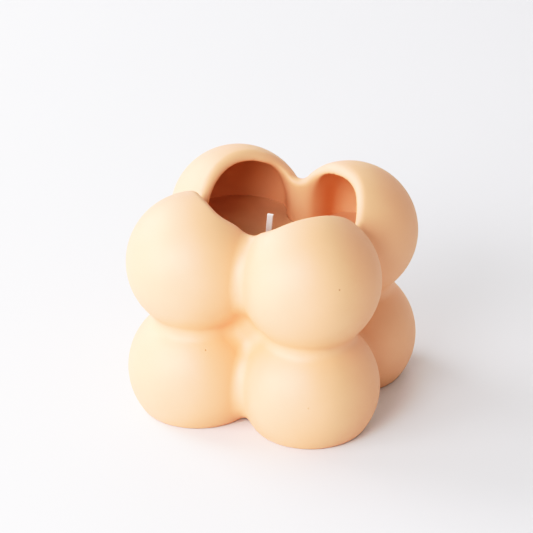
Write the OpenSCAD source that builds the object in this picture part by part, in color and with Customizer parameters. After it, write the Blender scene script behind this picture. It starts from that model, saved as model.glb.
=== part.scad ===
// Bubble cube candle: a cast vessel of eight merged bubbles, filled with wax round a flat wick.
// The base lies on z = 0 with its centre at the origin, and the front of the cube faces -Y.

/* [Bubbles] */
// Distance between neighbouring bubble centres, side to side
bubble_pitch = 46; // [42:0.5:50]
// Distance between the lower and the upper layer of bubble centres
layer_pitch = 45; // [42:0.5:49]
// Diameter of one bubble
bubble_d = 54; // [52:0.5:58]
// Radius of the fillet that softens each crease between two bubbles
crease_r = 4; // [2:0.25:6]
// Height of the lower bubble centres above the flat base
base_rise = 16.5; // [13:0.5:20]
// Distance between the flat diamond panels in the middle of opposite sides
panel_span = 59; // [54:0.5:62]
// Distance between the webs that close opposite creases at the base
foot_span = 47; // [44:0.5:50]

/* [Cavity] */
// Wall between an upper bubble's skin and the pocket inside it
wall = 3.5; // [2.5:0.25:3.75]
// Thickness of the floor under the cavity
floor_t = 6; // [3:0.5:9]
// Diameter of the mouth
mouth_d = 59; // [50:1:62]
// How far the mouth and the well stand to the right of the middle
mouth_shift = 2; // [0:0.5:3]
// Diameter of the round ridge between the two front pockets
front_ridge_d = 24; // [16:1:28]
// Distance from the middle of the cube to the nose of the front ridge
front_nose = 24; // [23:0.5:28]
// How far the front ridge stands to the left of the middle
front_ridge_shift = 2; // [0:0.5:3]
// Diameter of the round ridge between the two back pockets
back_ridge_d = 15; // [11:1:20]
// Distance from the middle of the cube to the nose of the back ridge
back_nose = 28; // [25:0.5:29]
// How far the back ridge stands to the right of the middle
back_ridge_shift = 3; // [0:0.5:4]
// Diameter of the tapered well at the floor
well_d = 37; // [26:1:40]
// Diameter of the tapered well at its top
well_top_d = 46; // [36:1:48]
// Height of the slope that joins the well to the mouth
shoulder_h = 8; // [4:0.5:12]
// Depth of the top of that slope below the upper bubble centres
shoulder_drop = 7.5; // [5:0.5:10]

/* [Wax] */
// Depth of the wax surface below the upper bubble centres
wax_drop = 4; // [1:0.5:4.5]
// Gap between the shrunken wax and the vessel
wax_gap = 0.2; // [0.1:0.05:0.5]

/* [Wick] */
// Width of the flat braided wick
wick_w = 2.6; // [2:0.1:4]
// Thickness of the wick
wick_t = 1.2; // [0.8:0.1:2]
// Length of wick that stands out of the wax
wick_stand = 17; // [6:1:22]
// Angle at which the free wick leans to the right
wick_lean = 5; // [0:1:12]
// Distance of the wick to the left of the middle
wick_offset = 2.8; // [0:0.1:5]
// Gap between the wick and what it passes through
wick_gap = 0.1; // [0.05:0.05:0.3]

/* [Wick tab] */
// Diameter of the pressed metal tab that holds the wick on the floor
tab_d = 15; // [12:0.5:20]
// Thickness of the tab's sheet metal
tab_t = 0.6; // [0.4:0.1:1]
// Outer diameter of the tab's neck, crimped round the wick
tab_neck_d = 4.6; // [4.6:0.1:6]
// Height of the neck above the sheet
tab_neck_h = 4; // [2:0.5:6]

/* [Hidden] */
$fn = 96;
// Overshoot of cuts past the faces they open
cut = 1;
// Bite of each crease fillet into its bubbles, which keeps the seams clean
bite = 0.05;
bubble_r = bubble_d / 2;
half_pitch = bubble_pitch / 2;
half_layer = layer_pitch / 2;
low_z = base_rise;
high_z = base_rise + layer_pitch;
top_z = high_z + bubble_r;
shoulder_z = high_z - shoulder_drop;
wax_z = high_z - wax_drop;
vessel_span = bubble_pitch + bubble_d;

// Copies of a child at the four bubble centres of each layer
module at_bubbles(layers) {
    for (x = [-half_pitch, half_pitch], y = [-half_pitch, half_pitch], z = layers)
        translate([x, y, z]) children();
}

// Square core of a given width between two heights, centred on the z axis
module core(span, bottom, top) {
    translate([-span / 2, -span / 2, bottom]) cube([span, span, top - bottom]);
}

// Neck between two bubbles: a short spool whose waist is the crease fillet.
// reach is half the distance between the two centres, which lie on the z axis.
module neck(reach) {
    waist_axis = sqrt(pow(bubble_r + crease_r, 2) - reach * reach) - bite;
    half_width = reach * crease_r / (bubble_r + crease_r);
    rotate_extrude()
        difference() {
            translate([0, -half_width]) square([waist_axis, 2 * half_width]);
            translate([waist_axis, 0]) circle(r = crease_r);
        }
}

// Necks across the four creases of each direction
module necks() {
    for (side = [-half_pitch, half_pitch]) {
        for (z = [low_z, high_z]) {
            translate([0, side, z]) rotate([0, 90, 0]) neck(half_pitch);
            translate([side, 0, z]) rotate([90, 0, 0]) neck(half_pitch);
        }
        for (y = [-half_pitch, half_pitch])
            translate([side, y, low_z + half_layer]) neck(half_layer);
    }
}

// Solid block of eight merged bubbles, cut flat at the base
module bubble_block() {
    difference() {
        union() {
            at_bubbles([low_z, high_z]) sphere(r = bubble_r);
            necks();
            core(panel_span, low_z, high_z);
            core(foot_span, 0, low_z);
        }
        translate([-vessel_span, -vessel_span, -bubble_d])
            cube([2 * vessel_span, 2 * vessel_span, bubble_d]);
    }
}

// Upright round ridges that stand in the front and the back of the hollow, made wider all round by gap
module ridges(gap) {
    translate([-front_ridge_shift, -front_nose - front_ridge_d / 2, floor_t])
        cylinder(h = top_z, r = front_ridge_d / 2 + gap);
    translate([back_ridge_shift, back_nose + back_ridge_d / 2, floor_t])
        cylinder(h = top_z, r = back_ridge_d / 2 + gap);
}

// Well that widens over a slope into the mouth
module well(gap) {
    mouth_r = mouth_d / 2 - gap;
    translate([mouth_shift, 0, 0])
        rotate_extrude()
            polygon([
                [0, floor_t],
                [well_d / 2 - gap, floor_t],
                [well_top_d / 2 - gap, shoulder_z - shoulder_h],
                [mouth_r, shoulder_z],
                [mouth_r, top_z + cut],
                [0, top_z + cut]
            ]);
}

// Hollow of the vessel up to a given height: the well and the mouth, with a round pocket in each
// upper bubble, less the two ridges. gap shrinks it sideways, for the wax that fills it.
module hollow(gap, height) {
    intersection() {
        difference() {
            union() {
                well(gap);
                at_bubbles([high_z]) sphere(r = bubble_r - wall - gap);
            }
            ridges(gap);
        }
        translate([-vessel_span / 2, -vessel_span / 2, floor_t])
            cube([vessel_span, vessel_span, height - floor_t]);
    }
}

// Straight length of wick from the floor to the wax surface, and the leaning free end
module wick_strip(gap, free_end) {
    translate([-wick_offset, 0, 0]) {
        translate([-wick_w / 2 - gap, -wick_t / 2 - gap, floor_t])
            cube([wick_w + 2 * gap, wick_t + 2 * gap, wax_z - floor_t]);
        translate([0, wick_t / 2 + gap, wax_z])
            rotate([90, 0, 0])
                linear_extrude(wick_t + 2 * gap)
                    polygon([
                        [-wick_w / 2 - gap, -cut],
                        [wick_w / 2 + gap, -cut],
                        [wick_w / 2 + gap, 0],
                        [wick_w / 2 + gap + free_end * tan(wick_lean), free_end],
                        [-wick_w / 2 - gap + free_end * tan(wick_lean), free_end],
                        [-wick_w / 2 - gap, 0]
                    ]);
    }
}

// Round tab with its neck
module tab_form(gap) {
    translate([-wick_offset, 0, floor_t]) {
        cylinder(h = tab_t + gap, d = tab_d + 2 * gap);
        cylinder(h = tab_t + tab_neck_h + gap, d = tab_neck_d + 2 * gap);
    }
}

module vessel() {
    color([0.98, 0.82, 0.70])
        difference() {
            bubble_block();
            hollow(0, top_z + cut);
        }
}

module wax() {
    color([0.62, 0.36, 0.22])
        difference() {
            hollow(wax_gap, wax_z);
            wick_strip(wick_gap, cut);
            tab_form(wick_gap);
        }
}

module wick() {
    color([0.93, 0.91, 0.87]) wick_strip(0, wick_stand);
}

module wick_tab() {
    color([0.75, 0.76, 0.78])
        difference() {
            tab_form(0);
            wick_strip(wick_gap, cut);
        }
}

vessel();
wax();
wick();
wick_tab();
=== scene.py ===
import math

import bmesh
import bpy
import numpy as np
from mathutils import Matrix, Vector


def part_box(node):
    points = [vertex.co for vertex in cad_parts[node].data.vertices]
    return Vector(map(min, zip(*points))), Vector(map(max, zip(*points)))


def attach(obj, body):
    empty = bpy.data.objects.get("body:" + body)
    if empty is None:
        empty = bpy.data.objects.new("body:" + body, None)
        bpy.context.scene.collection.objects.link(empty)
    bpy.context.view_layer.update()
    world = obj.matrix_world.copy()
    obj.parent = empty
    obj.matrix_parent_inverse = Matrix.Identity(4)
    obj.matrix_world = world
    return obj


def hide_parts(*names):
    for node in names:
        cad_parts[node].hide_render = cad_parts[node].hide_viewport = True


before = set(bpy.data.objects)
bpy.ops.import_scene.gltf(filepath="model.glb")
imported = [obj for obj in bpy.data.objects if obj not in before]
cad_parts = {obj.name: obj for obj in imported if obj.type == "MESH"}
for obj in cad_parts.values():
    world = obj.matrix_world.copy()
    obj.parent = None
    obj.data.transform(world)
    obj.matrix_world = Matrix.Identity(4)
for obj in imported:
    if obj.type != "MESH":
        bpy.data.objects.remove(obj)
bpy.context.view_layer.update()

# The vessel's sizes, in metres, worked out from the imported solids
MM = 0.001
LOW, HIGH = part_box("vessel")
WAX_LOW, WAX_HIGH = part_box("wax")
BUBBLE_R = 27 * MM
HALF_PITCH = min(HIGH.x, HIGH.y, -LOW.x, -LOW.y) - BUBBLE_R
UPPER_Z = HIGH.z - BUBBLE_R
LAYER_PITCH = 45 * MM
LOWER_Z = UPPER_Z - LAYER_PITCH
MIDDLE_Z = (UPPER_Z + LOWER_Z) / 2
FLOOR_Z = WAX_LOW.z
WAX_Z = WAX_HIGH.z

# Centre of the one bubble that stands for all eight in folded space
BUBBLE = np.array([HALF_PITCH, HALF_PITCH, LAYER_PITCH / 2])

# Cast skin: fillet of the creases, diamond panel of each side, webs at the base, rounded foot
CREASE_R = 4.4 * MM
PANEL_X = 29.5 * MM
PANEL_BLEND = 4.5 * MM
WEB_X = 23.5 * MM
FOOT_R = 0.7 * MM

# Cavity: pockets, mouth with its rounded lip, slope under the mouth, tapered well
POCKET_R = BUBBLE_R - 3.5 * MM
MOUTH_R = 29.5 * MM
MOUTH_X = 2 * MM
LIP_R = 4.2 * MM
WELL_R = 18.5 * MM
WELL_TOP_R = 23 * MM
SHOULDER_Z = UPPER_Z - 7.5 * MM
SHOULDER_H = 8 * MM
SLOPE = [SHOULDER_Z - SHOULDER_H, SHOULDER_Z]

# Upright ridges between the pockets, and how broadly they run into the wall of the mouth and the well
FRONT_RIDGE_R = 9 * MM
FRONT_RIDGE_X = -1 * MM
FRONT_NOSE = 23.5 * MM
FRONT_BLEND = 8 * MM
BACK_RIDGE_R = 6 * MM
BACK_RIDGE_X = 1.5 * MM
BACK_NOSE = 30.5 * MM
BACK_BLEND = 10 * MM
WELL_BLEND = 0.5 * MM

# Soft joins: pocket to mouth along the arches, pocket to pocket at the sides, cavity to lip
ARCH_SOFT = 1.0 * MM
SIDE_SOFT = 5.0 * MM
EDGE_SOFT = 1.0 * MM

# Broad roll of the rim at the back ridge: its softness, its middle, its reach, and the share of it that fills up
ROLL_SOFT = 10.0 * MM
ROLL_PLACE = (-2 * MM, 32 * MM)
ROLL_NEAR = 3 * MM
ROLL_FAR = 16 * MM
ROLL_FILL = 0.12

# Inward swelling of the lip at the back right
BULGE = 3.2 * MM
BULGE_TURN = math.radians(57)
BULGE_SPREAD = math.radians(22)

# Wax surface, which climbs the wall and reaches a little into it, so that no gap shows
MENISCUS_H = 0.7 * MM
MENISCUS_W = 1.5 * MM
WAX_GRIP = 0.6 * MM

# Wick: a flat braid, straight inside the wax and leaning above it
WICK_W = 2.6 * MM
WICK_T = 1.2 * MM
WICK_X = -2.8 * MM
WICK_LEAN = math.radians(5)
WICK_STAND = 17 * MM
WICK_SQUARENESS = 3.4
WICK_SIDES = 56
WICK_BURIED_STEP = 1 * MM
WICK_FREE_RINGS = 110
BRAID_COLUMNS = 4
BRAID_STEP = 1.3 * MM
BRAID_DEPTH = 0.14 * MM
BRAID_SEAM = 0.02

# Mesh spacing of the surfaces drawn from distance fields: fine round the mouth, coarse outside it
FINE_STEP = 0.85 * MM
COARSE_STEP = 1.6 * MM
FINE_REACH = 36 * MM
FINE_FROM = 50 * MM

# Pulls that bring the mesh onto its surface, the share of the way in each, and the gradient's probe
PULLS = 6
PULL_SHARE = 0.9
PROBE = 0.02 * MM

# Pinholes that the photograph shows in the casting, and their radius
PINHOLES = [
    (-0.0126, -0.0407, 0.0340),
    (0.0313, -0.0483, 0.0210),
    (0.0409, -0.0416, 0.0695),
]
PINHOLE_R = 0.4 * MM
# Most that the painted shade darkens a pinhole at its middle
PINHOLE_SHADE = 0.45

# Linear colours of each material, from its darker to its lighter patches
PEACH = [(0.865, 0.475, 0.270), (0.885, 0.495, 0.286)]
# Colour of the painted shade inside the pinholes, since their bump casts no shade of its own
PAINTED_PIT_SHADE = (0.62, 0.31, 0.15, 1)
WAX_BROWN = [(0.73, 0.45, 0.28), (0.80, 0.51, 0.33)]
COTTON_WHITE = [(0.88, 0.84, 0.80), (0.95, 0.92, 0.89)]
TIN_GREY = [(0.62, 0.63, 0.65), (0.74, 0.75, 0.77)]
FLOOR_WHITE = (0.84, 0.84, 0.845, 1)

# Camera, fitted to the outlines of the bubbles in the photograph
PHOTO_SIDE = 533
CAMERA_FOCAL_PX = 2906.5
SENSOR_MM = 36.0
CAMERA_AZIMUTH = math.radians(19.908)
CAMERA_ELEVATION = math.radians(26.900)
CAMERA_DISTANCE = 49.20 * HALF_PITCH
CAMERA_RIGHT = -0.119 * HALF_PITCH
CAMERA_UP = 0.514 * HALF_PITCH
CAMERA_NEAR = 0.01

# Lights: name, compass angle from +X, height angle, size in metres, power in watts
LIGHTS = [
    ("key", 226, 22, 0.7, 8.2),
    ("front", 260, 31, 0.6, 9),
    ("side", 168, 34, 0.8, 9.5),
]
LIGHT_DISTANCE = 1.2
LIGHT_TARGET = (0, 0, 0.045)
DAYLIGHT = (1.0, 1.0, 1.07)
ROOM = (1.0, 0.985, 0.955, 1.0)
ROOM_STRENGTH = 0.575

# Floor, in metres: half its width, its reach to the front and the back, and its bend up to the backdrop's top
FLOOR_HALF = 1.2
FLOOR_FRONT = -1.2
FLOOR_BACK = 0.9
BEND_R = 0.35
BEND_STEPS = 12
BACKDROP_TOP = 1.6

# Scene light against shown light, both linear
TONE_WHITE = 2.0
TONES = [
    (0.035, 0.008),
    (0.1, 0.044),
    (0.25, 0.175),
    (0.42, 0.35),
    (0.65, 0.59),
    (1.0, 0.805),
    (1.3, 0.94),
    (1.6, 0.99),
]


def length(v):
    """Length of the vectors along the last axis."""
    return np.sqrt((v * v).sum(-1))


def smooth_min(a, b, k):
    """Smaller of two distances, with the join rounded over a width of k."""
    h = np.maximum(k - np.abs(a - b), 0) / k
    return np.minimum(a, b) - h * h * k / 4


def round_cut(a, b, radius):
    """Larger of two distances, with the outer edge between them rounded to a radius."""
    both = np.maximum(np.stack([a + radius, b + radius], -1), 0)
    return np.minimum(-radius, np.maximum(a, b)) + length(both)


def folded(p):
    """Points folded into the eighth of space that holds one bubble, measured from the middle of the cube."""
    return np.stack([np.abs(p[..., 0]), np.abs(p[..., 1]), np.abs(p[..., 2] - MIDDLE_Z)], -1)


def crease_distance(p, skin):
    """Distance to the skin with a rolled fillet of CREASE_R in each crease between two bubbles."""
    q = folded(p)
    for axis in range(3):
        reach = BUBBLE[axis]
        across = [i for i in range(3) if i != axis]
        along = q[..., axis]
        out = length(q[..., across] - BUBBLE[across])
        ring = math.sqrt((BUBBLE_R + CREASE_R) ** 2 - reach ** 2)
        between = ((along - reach) * ring + out * reach <= 0) & (out < ring)
        fillet = CREASE_R - np.hypot(along, out - ring)
        skin = np.where(between, np.minimum(skin, fillet), skin)
    return skin


def skin_distance(p):
    """Distance to the outer skin: bubbles, creases, the diamond panel in each side and the webs at the base."""
    skin = crease_distance(p, length(folded(p) - BUBBLE) - BUBBLE_R)
    side = np.maximum(np.abs(p[..., 0]), np.abs(p[..., 1]))
    core = np.maximum(side - PANEL_X, np.abs(p[..., 2] - MIDDLE_Z) - LAYER_PITCH / 2)
    web = np.maximum(side - WEB_X, p[..., 2] - LOWER_Z)
    return np.minimum(smooth_min(skin, core, PANEL_BLEND), web)


def above_slope(p):
    """Nothing below the slope under the mouth, rising to one above it."""
    return np.interp(p[..., 2], SLOPE, [0, 1])


def ridge_distance(p):
    """Distance to the two upright round ridges that stand in the front and the back of the cavity."""
    x, y = p[..., 0], p[..., 1]
    front = np.hypot(x - FRONT_RIDGE_X, y + FRONT_NOSE + FRONT_RIDGE_R) - FRONT_RIDGE_R
    back = np.hypot(x - BACK_RIDGE_X, y - BACK_NOSE - BACK_RIDGE_R) - BACK_RIDGE_R
    return np.minimum(front, back)


def less_ridges(p, space):
    """A space less the ridges, which run out into its wall. They are plain in the well."""
    blend = np.where(p[..., 1] < 0, FRONT_BLEND, BACK_BLEND)
    blend = WELL_BLEND + (blend - WELL_BLEND) * above_slope(p)
    return -smooth_min(-space, ridge_distance(p), blend)


def well_distance(p):
    """Distance to the tapered well that widens over its slope into the mouth, which swells at the back right."""
    x, y, z = p[..., 0] - MOUTH_X, p[..., 1], p[..., 2]
    radius = np.interp(z, [FLOOR_Z, *SLOPE], [WELL_R, WELL_TOP_R, MOUTH_R])
    bulge = np.exp(-(((np.arctan2(y, x) - BULGE_TURN) / BULGE_SPREAD) ** 2))
    radius = radius - BULGE * bulge * above_slope(p)
    return np.maximum(np.hypot(x, y) - radius, FLOOR_Z - z)


def pocket_distance(p, blend):
    """Distance to the round pockets in the four upper bubbles, with soft joins between them."""
    x, y, z = np.abs(p[..., 0]), np.abs(p[..., 1]) - HALF_PITCH, p[..., 2] - UPPER_Z
    near = length(np.stack([x - HALF_PITCH, y, z], -1))
    beside = length(np.stack([x + HALF_PITCH, y, z], -1))
    behind = length(np.stack([x - HALF_PITCH, y + 2 * HALF_PITCH, z], -1))
    return smooth_min(smooth_min(near, beside, blend), behind, SIDE_SOFT) - POCKET_R


def back_roll(p):
    """One at the ridge between the two back pockets, falling smoothly to nothing at the arches."""
    apart = np.hypot(p[..., 0] - ROLL_PLACE[0], p[..., 1] - ROLL_PLACE[1])
    near = np.clip((ROLL_FAR - apart) / (ROLL_FAR - ROLL_NEAR), 0, 1)
    return near * near * (3 - 2 * near)


def hollow_distance(p):
    """Distance to the cavity: well and pockets, crisp along the arches and broadly rolled at the back ridge."""
    roll = ROLL_SOFT * back_roll(p)
    soft = ARCH_SOFT + roll
    return less_ridges(p, smooth_min(well_distance(p), pocket_distance(p, soft), soft) + ROLL_FILL * roll)


def vessel_distance(p):
    """Distance to the cast vessel: the skin, cut flat at the base and opened by a cavity with a rounded lip."""
    skin = round_cut(skin_distance(p), -p[..., 2], FOOT_R)
    hollow = hollow_distance(p)
    well = less_ridges(p, well_distance(p))
    mouth = np.maximum(well + (hollow - well) * back_roll(p), SHOULDER_Z - p[..., 2])
    return -smooth_min(-round_cut(skin, -mouth, LIP_R), hollow, EDGE_SOFT)


def wax_distance(p):
    """Distance to the wax, whose surface climbs a little where it meets the wall."""
    wall = hollow_distance(p) - WAX_GRIP
    climb = MENISCUS_H * np.exp(wall / MENISCUS_W)
    return np.maximum(wall, p[..., 2] - WAX_Z - climb)


def gradient(field, p):
    """Unit gradient of a distance field at the points p."""
    parts = []
    for axis in range(3):
        shift = np.zeros(3)
        shift[axis] = PROBE
        parts.append(field(p + shift) - field(p - shift))
    g = np.stack(parts, -1)
    return g / np.maximum(length(g), 1e-12)[..., None]


def grid_lines(low, high, fine_low, fine_high):
    """Grid lines a little past a range, fine in one span and coarse outside it."""
    below = np.arange(fine_low, low - 2 * COARSE_STEP, -COARSE_STEP)[:0:-1]
    fine = np.linspace(fine_low, fine_high, round((fine_high - fine_low) / FINE_STEP) + 1)
    above = np.arange(fine_high, high + 2 * COARSE_STEP, COARSE_STEP)[1:]
    return np.concatenate([below, fine, above])


def cell_corners(values):
    """The eight corner values of every grid cell, corner index last."""
    nx, ny, nz = (n - 1 for n in values.shape)
    return np.stack(
        [values[i : i + nx, j : j + ny, k : k + nz] for i in (0, 1) for j in (0, 1) for k in (0, 1)],
        -1,
    )


def start_points(corners, cells, axes):
    """Mean crossing point of each active cell's edges."""
    corner_at = np.array([(i, j, k) for i in (0, 1) for j in (0, 1) for k in (0, 1)], float)
    total = np.zeros((len(corners), 3))
    count = np.zeros(len(corners))
    for a in range(8):
        for b in range(a + 1, 8):
            if np.abs(corner_at[a] - corner_at[b]).sum() != 1:
                continue
            va, vb = corners[:, a], corners[:, b]
            cross = (va < 0) != (vb < 0)
            t = np.where(cross, va / np.where(cross, va - vb, 1), 0)[:, None]
            where = corner_at[a] + (corner_at[b] - corner_at[a]) * t
            total += where * cross[:, None]
            count += cross
    place = cells + total / count[:, None]
    return np.stack([np.interp(place[:, i], np.arange(len(axes[i])), axes[i]) for i in range(3)], -1)


def net_quads(inside, index, axis):
    """A quad round every grid edge along one axis that crosses the surface, facing outwards."""
    u, v = [i for i in range(3) if i != axis]
    start = [slice(None)] * 3
    end = [slice(None)] * 3
    start[axis], end[axis] = slice(None, -1), slice(1, None)
    crossing = inside[tuple(start)] != inside[tuple(end)]
    at = np.argwhere(crossing)
    leaving = inside[tuple(start)][crossing]
    ring = []
    for du, dv in ((-1, -1), (0, -1), (0, 0), (-1, 0)):
        cell = at.copy()
        cell[:, u] += du
        cell[:, v] += dv
        ring.append(index[tuple(cell.T)])
    quads = np.stack(ring, -1)
    flip = leaving if axis == 1 else ~leaving
    quads[flip] = quads[flip][:, ::-1]
    return quads


def surface_net(field, low, high):
    """Points and quads over the zero surface of a distance field, the points pulled onto it."""
    sides = [grid_lines(low[i], high[i], -FINE_REACH, FINE_REACH) for i in range(2)]
    axes = [*sides, grid_lines(low[2], high[2], FINE_FROM, high[2] + FINE_STEP)]
    values = field(np.stack(np.meshgrid(*axes, indexing="ij"), -1))
    inside = values < 0
    corners = cell_corners(values)
    full = (corners < 0).sum(-1)
    active = (full > 0) & (full < 8)
    index = np.full(active.shape, -1)
    index[active] = np.arange(active.sum())
    points = start_points(corners[active], np.argwhere(active), axes)
    for _ in range(PULLS):
        points -= field(points)[:, None] * gradient(field, points) * PULL_SHARE
    return points, np.concatenate([net_quads(inside, index, axis) for axis in range(3)])


def mesh_object(name, points, faces):
    """Smooth-shaded mesh object in the scene."""
    mesh = bpy.data.meshes.new(name)
    mesh.from_pydata(points, [], faces)
    mesh.update()
    mesh.polygons.foreach_set("use_smooth", [True] * len(mesh.polygons))
    piece = bpy.data.objects.new(name, mesh)
    bpy.context.scene.collection.objects.link(piece)
    return piece


def field_mesh(name, field, low, high):
    """Mesh object of a distance field's surface, shaded by the field's own normals."""
    points, quads = surface_net(field, low, high)
    piece = mesh_object(name, points.tolist(), quads.tolist())
    piece.data.normals_split_custom_set_from_vertices(gradient(field, points).tolist())
    return piece


def node_material(name):
    """New node material with its tree, its surface shader and the object's own coordinates."""
    material = bpy.data.materials.new(name)
    material.use_nodes = True
    tree = material.node_tree
    where = tree.nodes.new("ShaderNodeTexCoord")
    return material, tree, tree.nodes["Principled BSDF"], where.outputs["Object"]


def noise(tree, where, scale, detail):
    """Noise over the object's coordinates."""
    node = tree.nodes.new("ShaderNodeTexNoise")
    node.inputs["Scale"].default_value = scale
    node.inputs["Detail"].default_value = detail
    tree.links.new(where, node.inputs["Vector"])
    return node.outputs["Fac"]


def ramp(tree, value, places, colours):
    """Colour ramp over a value, between two places with a colour each."""
    node = tree.nodes.new("ShaderNodeValToRGB")
    for element, place, colour in zip(node.color_ramp.elements, places, colours):
        element.position = place
        element.color = (*colour, 1)
    tree.links.new(value, node.inputs["Fac"])
    return node.outputs["Color"]


def bump(tree, height, strength, distance, normal=None):
    """Bump from a height, on top of another bump where one is given."""
    node = tree.nodes.new("ShaderNodeBump")
    node.inputs["Strength"].default_value = strength
    node.inputs["Distance"].default_value = distance
    tree.links.new(height, node.inputs["Height"])
    if normal is not None:
        tree.links.new(normal, node.inputs["Normal"])
    return node.outputs["Normal"]


def calculate(tree, operation, *values):
    """Math node over sockets and numbers."""
    node = tree.nodes.new("ShaderNodeMath")
    node.operation = operation
    for socket, value in zip(node.inputs, values):
        if isinstance(value, bpy.types.NodeSocket):
            tree.links.new(value, socket)
        else:
            socket.default_value = value
    return node.outputs["Value"]


def set_roughness(tree, shader, grain, least, spread):
    """Roughness that rises from its least value with a grain."""
    tree.links.new(calculate(tree, "MULTIPLY_ADD", grain, spread, least), shader.inputs["Roughness"])


def pinhole_depth(tree, where):
    """One inside a pinhole, falling to nothing at its rim."""
    depth = None
    for place in PINHOLES:
        apart = tree.nodes.new("ShaderNodeVectorMath")
        apart.operation = "DISTANCE"
        apart.inputs[1].default_value = place
        tree.links.new(where, apart.inputs[0])
        share = calculate(tree, "DIVIDE", apart.outputs["Value"], PINHOLE_R)
        hole = calculate(tree, "SUBTRACT", 1.0, calculate(tree, "MINIMUM", share, 1.0))
        depth = hole if depth is None else calculate(tree, "ADD", depth, hole)
    return depth


def ceramic():
    """Matte peach cast ceramic: faint mottling, a fine tooth and a few pinholes with painted shade in them."""
    material, tree, shader, where = node_material("peach_ceramic")
    mottle = noise(tree, where, scale=60, detail=4)
    pits = pinhole_depth(tree, where)
    # Painted shade: the base colour darkens towards the middle of each pinhole
    darker = tree.nodes.new("ShaderNodeMix")
    darker.data_type = "RGBA"
    darker.inputs["B"].default_value = PAINTED_PIT_SHADE
    tree.links.new(calculate(tree, "MINIMUM", pits, PINHOLE_SHADE), darker.inputs["Factor"])
    tree.links.new(ramp(tree, mottle, (0.3, 0.7), PEACH), darker.inputs["A"])
    tree.links.new(darker.outputs["Result"], shader.inputs["Base Color"])
    tooth = bump(tree, noise(tree, where, scale=900, detail=5), strength=0.08, distance=0.2 * MM)
    sunk = calculate(tree, "MULTIPLY", pits, -1.0)
    pitted = bump(tree, sunk, strength=0.7, distance=0.5 * MM, normal=tooth)
    tree.links.new(pitted, shader.inputs["Normal"])
    set_roughness(tree, shader, noise(tree, where, scale=400, detail=3), least=0.52, spread=0.12)
    shader.inputs["Specular IOR Level"].default_value = 1.0
    return material


def candle_wax():
    """Satin wax, clouded, with the slight unevenness of a poured surface."""
    material, tree, shader, where = node_material("candle_wax")
    cloud = noise(tree, where, scale=70, detail=3)
    tree.links.new(ramp(tree, cloud, (0.3, 0.7), WAX_BROWN), shader.inputs["Base Color"])
    tree.links.new(bump(tree, cloud, strength=0.1, distance=0.3 * MM), shader.inputs["Normal"])
    set_roughness(tree, shader, noise(tree, where, scale=500, detail=4), least=0.36, spread=0.1)
    return material


def cotton():
    """Bleached cotton with fine fibres along the braid."""
    material, tree, shader, where = node_material("wick_cotton")
    stretch = tree.nodes.new("ShaderNodeMapping")
    stretch.inputs["Scale"].default_value = (1, 1, 0.15)
    tree.links.new(where, stretch.inputs["Vector"])
    fibre = noise(tree, stretch.outputs["Vector"], scale=9000, detail=4)
    tree.links.new(ramp(tree, fibre, (0.3, 0.7), COTTON_WHITE), shader.inputs["Base Color"])
    tree.links.new(bump(tree, fibre, strength=0.4, distance=0.05 * MM), shader.inputs["Normal"])
    shader.inputs["Roughness"].default_value = 0.9
    return material


def tinned_sheet():
    """Pressed tinned sheet with fine scratches round it."""
    material, tree, shader, where = node_material("tinned_sheet")
    scratch = noise(tree, where, scale=2500, detail=6)
    tree.links.new(ramp(tree, scratch, (0.35, 0.65), TIN_GREY), shader.inputs["Base Color"])
    tree.links.new(bump(tree, scratch, strength=0.1, distance=0.05 * MM), shader.inputs["Normal"])
    set_roughness(tree, shader, scratch, least=0.22, spread=0.2)
    shader.inputs["Metallic"].default_value = 1.0
    return material


def dress(piece, material, node):
    """Gives a piece its material and slot, and puts it in the place of its node."""
    piece.data.materials.append(material)
    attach(piece, "root")
    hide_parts(node)


def make_vessel():
    """The cast vessel with its soft rim."""
    vessel = field_mesh("cast_vessel", vessel_distance, LOW, HIGH)
    dress(vessel, ceramic(), "vessel")


def make_wax():
    """The poured wax, which ends above its solid by the climb at the wall."""
    top = Vector((WAX_HIGH.x, WAX_HIGH.y, WAX_Z + MENISCUS_H))
    wax = field_mesh("poured_wax", wax_distance, WAX_LOW, top)
    dress(wax, candle_wax(), "wax")


def wick_ring(z):
    """One section of the braided wick at a height: a flat rounded strip, sunk between its stitches."""
    turn = np.linspace(0, 2 * math.pi, WICK_SIDES, endpoint=False)
    c, s = np.cos(turn), np.sin(turn)
    power = 2 / WICK_SQUARENESS
    x = WICK_W / 2 * np.sign(c) * np.abs(c) ** power
    y = WICK_T / 2 * np.sign(s) * np.abs(s) ** power
    across = (x / WICK_W + 0.5) * BRAID_COLUMNS
    column = np.minimum(np.floor(across), BRAID_COLUMNS - 1)
    place = across - column
    slant = np.where(column % 2 == 0, place, 1 - place)
    stitch = np.abs(np.sin(math.pi * (z / BRAID_STEP + slant * 0.5 + (y < 0) * 0.5)))
    crown = np.sqrt(np.sin(math.pi * np.clip(place, BRAID_SEAM, 1 - BRAID_SEAM)))
    sunk = BRAID_DEPTH * (1 - np.sqrt(stitch) * crown)
    lean = max(z - WAX_Z, 0) * math.tan(WICK_LEAN)
    x -= np.sign(x) * np.minimum(sunk, np.abs(x)) * np.abs(c) ** 2
    y -= np.sign(y) * np.minimum(sunk, np.abs(y)) * np.abs(s) ** 0.5
    return np.stack([x + WICK_X + lean, y, np.full(WICK_SIDES, z)], -1)


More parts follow.
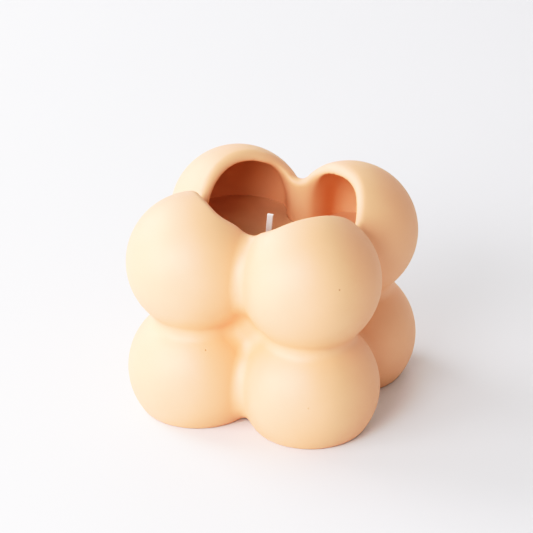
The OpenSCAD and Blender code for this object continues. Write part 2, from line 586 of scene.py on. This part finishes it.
def make_wick():
    """The braided wick as a closed tube of rings, close together where it is free."""
    free_from = WAX_Z - WICK_BURIED_STEP
    hidden = np.arange(FLOOR_Z, free_from, WICK_BURIED_STEP)
    free = np.linspace(free_from, WAX_Z + WICK_STAND, WICK_FREE_RINGS)
    heights = np.concatenate([hidden, free])
    points = np.concatenate([wick_ring(z) for z in heights])
    faces = []
    for row in range(len(heights) - 1):
        for i in range(WICK_SIDES):
            a, b = row * WICK_SIDES + i, row * WICK_SIDES + (i + 1) % WICK_SIDES
            faces.append((a, b, b + WICK_SIDES, a + WICK_SIDES))
    last = (len(heights) - 1) * WICK_SIDES
    faces.append(list(range(WICK_SIDES))[::-1])
    faces.append([last + i for i in range(WICK_SIDES)])
    wick = mesh_object("braided_wick", points.tolist(), faces)
    for cap in list(wick.data.polygons)[-2:]:
        cap.use_smooth = False
    dress(wick, cotton(), "wick")


def dress_tab():
    """The hidden wick tab keeps its solid and gets its metal."""
    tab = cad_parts["wick_tab"].data
    tab.materials.clear()
    tab.materials.append(tinned_sheet())


def make_stage():
    """Pale floor that curves up into a backdrop."""
    bend_from = FLOOR_BACK - BEND_R
    profile = [(FLOOR_FRONT, 0.0), (bend_from, 0.0)]
    for i in range(1, BEND_STEPS + 1):
        turn = math.radians(90) * i / BEND_STEPS
        profile.append((bend_from + BEND_R * math.sin(turn), BEND_R - BEND_R * math.cos(turn)))
    profile.append((FLOOR_BACK, BACKDROP_TOP))
    mesh = bpy.data.meshes.new("floor")
    bm = bmesh.new()
    rows = [[bm.verts.new((x, y, z)) for y, z in profile] for x in (-FLOOR_HALF, FLOOR_HALF)]
    for i in range(len(profile) - 1):
        bm.faces.new((rows[0][i], rows[1][i], rows[1][i + 1], rows[0][i + 1]))
    bm.to_mesh(mesh)
    bm.free()
    mesh.polygons.foreach_set("use_smooth", [True] * len(mesh.polygons))
    floor = bpy.data.objects.new("floor", mesh)
    bpy.context.scene.collection.objects.link(floor)
    material, _, shader, _ = node_material("pale_floor")
    shader.inputs["Base Color"].default_value = FLOOR_WHITE
    shader.inputs["Roughness"].default_value = 0.9
    mesh.materials.append(material)


def around(azimuth, elevation, distance):
    """Place at a compass angle from +X, a height angle and a distance, all seen from the object."""
    a, e = math.radians(azimuth), math.radians(elevation)
    return Vector((math.cos(a) * math.cos(e), math.sin(a) * math.cos(e), math.sin(e))) * distance


def area_light(name, place, size, power):
    """Round area light at a place, turned to the object."""
    light = bpy.data.lights.new(name, "AREA")
    light.shape = "DISK"
    light.size = size
    light.energy = power
    light.color = DAYLIGHT
    lamp = bpy.data.objects.new(name, light)
    lamp.location = place
    lamp.rotation_euler = (Vector(LIGHT_TARGET) - place).to_track_quat("-Z", "Y").to_euler()
    bpy.context.scene.collection.objects.link(lamp)


def make_lights():
    """Window light from the left: a low key, a higher light in front, one beside it, and a warm white room."""
    for name, azimuth, elevation, size, power in LIGHTS:
        area_light(name, around(azimuth, elevation, LIGHT_DISTANCE), size, power)
    world = bpy.data.worlds.new("studio")
    world.use_nodes = True
    background = world.node_tree.nodes["Background"]
    background.inputs["Color"].default_value = ROOM
    background.inputs["Strength"].default_value = ROOM_STRENGTH
    bpy.context.scene.world = world


def set_tones():
    """The photograph's tone curve: bright highlights that roll off softly, and deep saturated shadows."""
    view = bpy.context.scene.view_settings
    view.view_transform = "Standard"
    view.use_curve_mapping = True
    tones = view.curve_mapping
    tones.white_level = (TONE_WHITE, TONE_WHITE, TONE_WHITE)
    for light, shown in TONES:
        tones.curves[3].points.new(light / TONE_WHITE, shown)
    tones.update()


def make_camera():
    """Camera at the photograph's viewing angle, aimed past the middle of the cube of bubbles."""
    centre = Vector((0, 0, MIDDLE_Z))
    turn, rise = CAMERA_AZIMUTH, CAMERA_ELEVATION
    back = Vector((math.sin(turn) * math.cos(rise), -math.cos(turn) * math.cos(rise), math.sin(rise)))
    right = Vector((math.cos(turn), math.sin(turn), 0))
    up = back.cross(right)
    lens = bpy.data.cameras.new("photo_camera")
    lens.sensor_width = SENSOR_MM
    lens.lens = CAMERA_FOCAL_PX / PHOTO_SIDE * SENSOR_MM
    lens.clip_start = CAMERA_NEAR
    camera = bpy.data.objects.new("photo_camera", lens)
    bpy.context.scene.collection.objects.link(camera)
    place = centre + back * CAMERA_DISTANCE + right * CAMERA_RIGHT + up * CAMERA_UP
    camera.matrix_world = Matrix.Translation(place) @ Matrix((right, up, back)).transposed().to_4x4()
    bpy.context.scene.camera = camera


make_camera()
make_stage()
make_lights()
set_tones()
make_vessel()
make_wax()
make_wick()
dress_tab()
